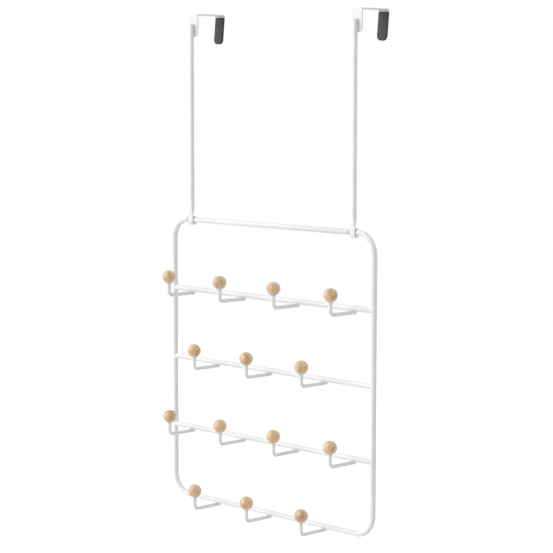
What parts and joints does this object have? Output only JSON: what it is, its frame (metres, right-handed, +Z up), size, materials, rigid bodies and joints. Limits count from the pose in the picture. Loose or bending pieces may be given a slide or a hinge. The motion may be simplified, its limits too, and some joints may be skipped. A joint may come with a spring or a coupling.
{
  "type": "over-the-door hook rack",
  "caption": "Hook rack that hangs over a door: two flat brackets with rods carry a barred panel whose wire hooks end in wooden balls.",
  "frame": {"origin": "in the panel's middle plane, on the front top edge of the door: under the top strips and on the inner face of the front plates", "axes": "+X to the right seen from the front, -Y to the front where the hooks point, +Z up"},
  "size_m": [0.361, 0.0989, 0.6322],
  "materials": {
    "white_steel": "white powder coat, satin",
    "grey_rubber": "matt dark grey",
    "pale_wood": "turned, bare or clear-lacquered"
  },
  "bodies": {
    "hangers": {"door_bracket_left": "white_steel", "door_bracket_right": "white_steel", "leg_sleeve_left": "grey_rubber", "leg_sleeve_right": "grey_rubber", "hanger_rod_left": "white_steel", "hanger_rod_right": "white_steel"},
    "panel": {"panel_frame": "white_steel", "rail_1": "white_steel", "rail_2": "white_steel", "rail_3": "white_steel", "hook_wire_01": "white_steel", "hook_wire_02": "white_steel", "hook_wire_03": "white_steel", "hook_wire_04": "white_steel", "hook_wire_05": "white_steel", "hook_wire_06": "white_steel", "hook_wire_07": "white_steel", "hook_wire_08": "white_steel", "hook_wire_09": "white_steel", "hook_wire_10": "white_steel", "hook_wire_11": "white_steel", "hook_wire_12": "white_steel", "hook_wire_13": "white_steel", "hook_wire_14": "white_steel", "hook_ball_01": "pale_wood", "hook_ball_02": "pale_wood", "hook_ball_03": "pale_wood", "hook_ball_04": "pale_wood", "hook_ball_05": "pale_wood", "hook_ball_06": "pale_wood", "hook_ball_07": "pale_wood", "hook_ball_08": "pale_wood", "hook_ball_09": "pale_wood", "hook_ball_10": "pale_wood", "hook_ball_11": "pale_wood", "hook_ball_12": "pale_wood", "hook_ball_13": "pale_wood", "hook_ball_14": "pale_wood"}
  },
  "joints": [
    {"name": "panel_swing", "type": "hinge", "parent": "hangers", "child": "panel", "pos_m": [0, -0.0037, -0.2612], "axis": [1, 0, 0], "range_deg": [-140, 0]}
  ]
}
